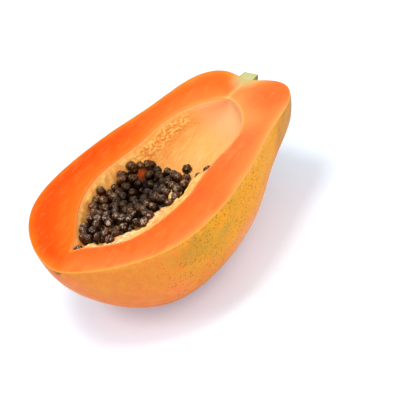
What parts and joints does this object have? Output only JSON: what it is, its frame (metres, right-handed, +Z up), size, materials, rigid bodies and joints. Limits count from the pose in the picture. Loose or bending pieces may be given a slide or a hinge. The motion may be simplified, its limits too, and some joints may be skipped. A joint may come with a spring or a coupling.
{
  "type": "halved papaya",
  "caption": "Half of a ripe papaya cut lengthwise and lying cut face up, with its seed hollow, a heap of round black seeds and a stub of the stalk.",
  "frame": {"origin": "middle of the underside of the bounding box, on the surface that the half rests on", "axes": "+X along the fruit towards its stalk, +Y across it, +Z up out of the cut face"},
  "size_m": [0.1836, 0.1284, 0.0642],
  "materials": {
    "flesh": "moist orange fruit flesh under a thin satin skin, yellow-orange with green patches and fine dark specks",
    "stalk": "pale green cut plant fibre with dull brown-green bark",
    "seed": "wet, wrinkled, brown-black seed coat"
  },
  "bodies": {
    "root": {"fruit": "flesh", "stalk": "stalk", "seed_heap": "seed", "loose_seed_1": "seed", "loose_seed_2": "seed", "loose_seed_3": "seed", "loose_seed_4": "seed", "loose_seed_5": "seed"}
  },
  "joints": []
}
